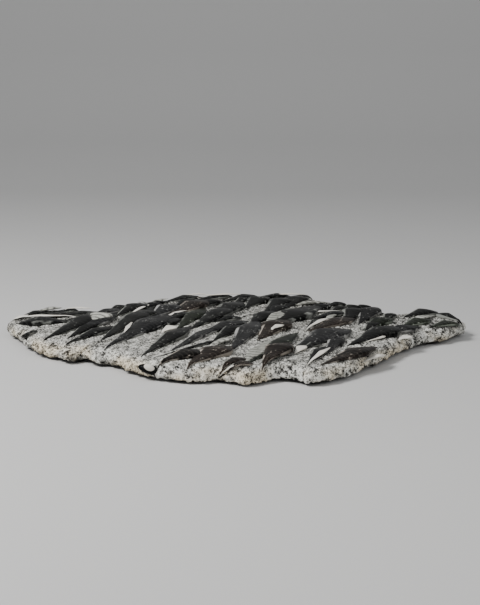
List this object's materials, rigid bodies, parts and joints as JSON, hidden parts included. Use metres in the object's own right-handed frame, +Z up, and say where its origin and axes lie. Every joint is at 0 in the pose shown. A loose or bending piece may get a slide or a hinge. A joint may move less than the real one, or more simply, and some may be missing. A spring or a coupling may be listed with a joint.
{
  "type": "orthoceras fossil plate",
  "caption": "Natural slab of limestone with a broken rim, a flat resting face and slender polished cone shells standing in relief on its top.",
  "frame": {"origin": "centre of the outline's box, on the flat resting face", "axes": "+X along the slab's length towards the right-hand point, -Y towards the front, +Z up from the resting face to the fossil face"},
  "size_m": [0.622, 0.4036, 0.0372],
  "materials": {
    "stone": "polished shells in matt carved matrix"
  },
  "bodies": {
    "root": {"fossil_plate": "stone"}
  },
  "joints": []
}
